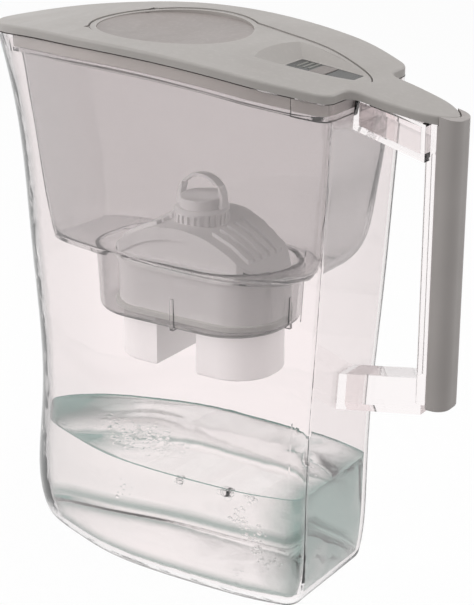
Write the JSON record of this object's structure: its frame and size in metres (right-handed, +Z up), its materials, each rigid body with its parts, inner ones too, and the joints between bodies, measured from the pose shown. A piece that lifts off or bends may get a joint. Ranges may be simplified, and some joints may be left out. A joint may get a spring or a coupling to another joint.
{
  "type": "water filter pitcher with flip lid",
  "caption": "Clear water filter pitcher: lift-out smoke-tinted tank, filter cartridge, arched lid with hinged flip flap, grey-backed handle and life indicator.",
  "frame": {"origin": "middle of the bounding box, on the surface that the pitcher stands on", "axes": "+X from the spout towards the handle, +Y across the pitcher, +Z up"},
  "size_m": [0.258, 0.1092, 0.2705],
  "materials": {
    "clear_plastic": "polished clear styrene, faintly warm",
    "smoke_plastic": "polished smoke-tinted styrene",
    "warm_grey_plastic": "satin warm grey",
    "mid_grey_plastic": "satin, a shade darker than the lid",
    "dark_grey_plastic": "satin dark grey",
    "white_plastic": "satin milky white",
    "silicone": "matte translucent silicone",
    "filter_mesh": "fine woven mesh",
    "carbon_granules": "coarse black granules",
    "resin_beads": "amber beads",
    "steel_pin": "drawn steel",
    "cell_steel": "pressed steel",
    "dark_window": "glossy dark smoke",
    "display_glass": "grey-green display",
    "circuit_board": "green solder mask",
    "key_rubber": "soft grey key"
  },
  "bodies": {
    "jug": {"jug_shell": "clear_plastic", "handle_frame": "clear_plastic", "grip_cover": "warm_grey_plastic"},
    "tank": {"reservoir_shell": "smoke_plastic", "seat_seal": "silicone"},
    "cartridge": {"cartridge_cup": "white_plastic", "cartridge_cap": "white_plastic", "inlet_collar": "white_plastic", "collar_cap": "white_plastic", "pull_loop": "white_plastic", "inlet_screen": "filter_mesh", "carbon_bed": "carbon_granules", "bed_screen": "filter_mesh", "resin_beds": "resin_beads", "outlet_screens": "filter_mesh"},
    "lid": {"lid_shell": "warm_grey_plastic", "lid_skirt": "dark_grey_plastic"},
    "flap": {"flip_panel": "warm_grey_plastic", "hinge_pins": "steel_pin", "dish_insert": "mid_grey_plastic", "indicator_case": "dark_grey_plastic", "indicator_lens": "dark_window", "indicator_board": "circuit_board", "display_panel": "display_glass", "button_switch": "steel_pin", "coin_cell": "cell_steel", "battery_door": "dark_grey_plastic"},
    "key": {"reset_button": "key_rubber"}
  },
  "joints": [
    {"name": "tank_lift", "type": "slide", "parent": "jug", "child": "tank", "axis": [0, 0, 1], "range_m": [0, 0.16]},
    {"name": "cartridge_lift", "type": "slide", "parent": "tank", "child": "cartridge", "axis": [0, 0, 1], "range_m": [0, 0.05]},
    {"name": "lid_lift", "type": "slide", "parent": "tank", "child": "lid", "axis": [0, 0, 1], "range_m": [0, 0.09]},
    {"name": "flap_hinge", "type": "hinge", "parent": "lid", "child": "flap", "pos_m": [-0.055, 0, 0.26823], "axis": [0, -1, 0], "range_deg": [0, 90]},
    {"name": "key_press", "type": "slide", "parent": "flap", "child": "key", "axis": [-0.0718, 0, -0.9974], "range_m": [0, 0.0008], "stiffness_N_per_m": 400, "springref_m": -0.0005}
  ]
}
